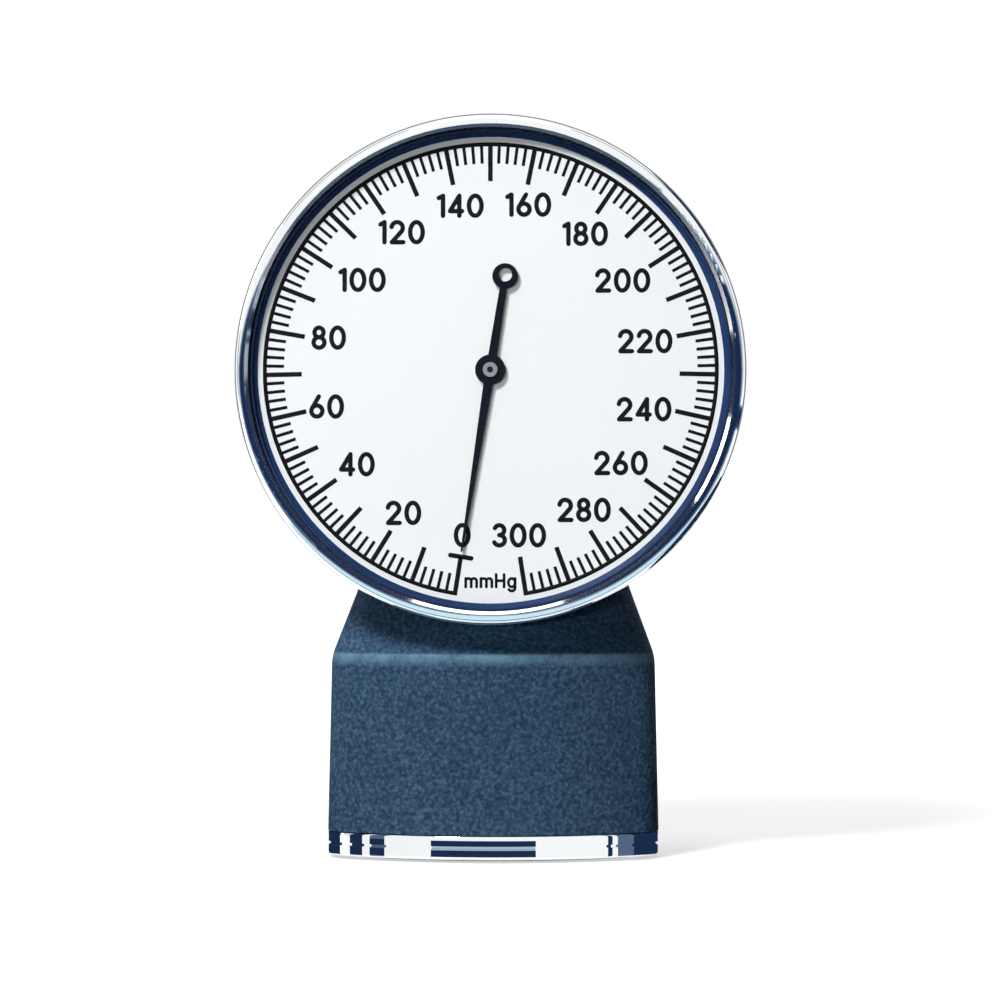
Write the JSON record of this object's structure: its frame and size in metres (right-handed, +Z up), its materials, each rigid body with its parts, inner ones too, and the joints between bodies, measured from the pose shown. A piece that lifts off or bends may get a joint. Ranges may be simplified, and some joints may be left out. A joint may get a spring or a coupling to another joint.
{
  "type": "sphygmomanometer",
  "caption": "Free-standing aneroid blood pressure gauge: round white dial in a chrome bezel on a grained slate-blue base with a chrome foot band and a rear hose nipple.",
  "frame": {"origin": "on the table under the rubber foot, on the middle plane, 11.6 mm behind the base's front", "axes": "+Z up; the dial faces -Y; +X is to the right as the dial is read"},
  "size_m": [0.066, 0.0445, 0.0969],
  "materials": {
    "chrome": "polished plating",
    "plated_brass": "satin plating",
    "clear_lens": "clear, polished",
    "dial_white": "matt white print ground",
    "navy_ring": "satin navy",
    "slate_plastic": "moulded grain, slate blue",
    "pointer_black": "matt black",
    "bush_grey": "turned",
    "brass": "machined",
    "blued_steel": "blued, ground",
    "steel": "machined",
    "ballast_iron": "as cast",
    "rubber": "matt"
  },
  "bodies": {
    "stand": {"bezel": "chrome", "foot_band": "chrome", "hose_nipple": "plated_brass", "lens": "clear_lens", "dial_plate": "dial_white", "dial_ring": "navy_ring", "gauge_case": "slate_plastic", "front_housing": "slate_plastic", "rear_housing": "slate_plastic", "movement_base_plate": "brass", "movement_top_plate": "brass", "pillars": "brass", "rocker_bearings": "brass", "hairspring": "brass", "hairspring_stud": "brass", "capsule_rear_shell": "brass", "capsule_front_shell": "brass", "stem": "brass", "stem_nut": "brass", "elbows": "brass", "nipple_nut": "brass", "plate_screws": "steel", "movement_screws": "steel", "stem_washer": "steel", "housing_screws": "steel", "foot_screws": "steel", "locating_pins": "steel", "base_plate": "steel", "ballast": "ballast_iron", "lens_gasket": "rubber", "stem_seal": "rubber", "nipple_seal": "rubber", "foot_pad": "rubber", "air_tube": "rubber"},
    "pointer": {"pointer": "pointer_black", "pointer_bush": "bush_grey", "arbor": "blued_steel", "pinion": "brass", "hairspring_collet": "brass"},
    "sector": {"sector_gear": "brass", "sector_shaft": "steel"},
    "rocker": {"rocker_shaft": "steel", "lift_lever": "steel", "drive_lever": "steel"},
    "lifter": {"lifter": "brass"}
  },
  "joints": [
    {"name": "pointer_sweep", "type": "hinge", "parent": "stand", "child": "pointer", "pos_m": [0, -0.0137, 0.0639], "axis": [0, 1, 0], "range_deg": [0, 342], "stiffness_Nm_per_rad": 0.00003, "springref_deg": -57.3, "deforming": ["hairspring"]},
    {"name": "sector_turn", "type": "hinge", "parent": "stand", "child": "sector", "pos_m": [-0.01342, -0.0073, 0.0609], "axis": [0, -1, 0], "range_deg": [0, 34.21]},
    {"name": "rocker_turn", "type": "hinge", "parent": "stand", "child": "rocker", "pos_m": [0, -0.0034, 0.0609], "axis": [1, 0, 0], "range_deg": [0, 22.81]},
    {"name": "capsule_lift", "type": "slide", "parent": "stand", "child": "lifter", "axis": [0, -1, 0], "range_m": [0, 0.0012], "deforming": ["capsule_front_shell"]}
  ],
  "couplings": [
    {"joint": "sector_turn", "follows": "pointer_sweep", "ratio": 0.1},
    {"joint": "rocker_turn", "follows": "pointer_sweep", "ratio": 0.066667},
    {"joint": "capsule_lift", "follows": "pointer_sweep", "m_per_rad": 0.0002}
  ]
}
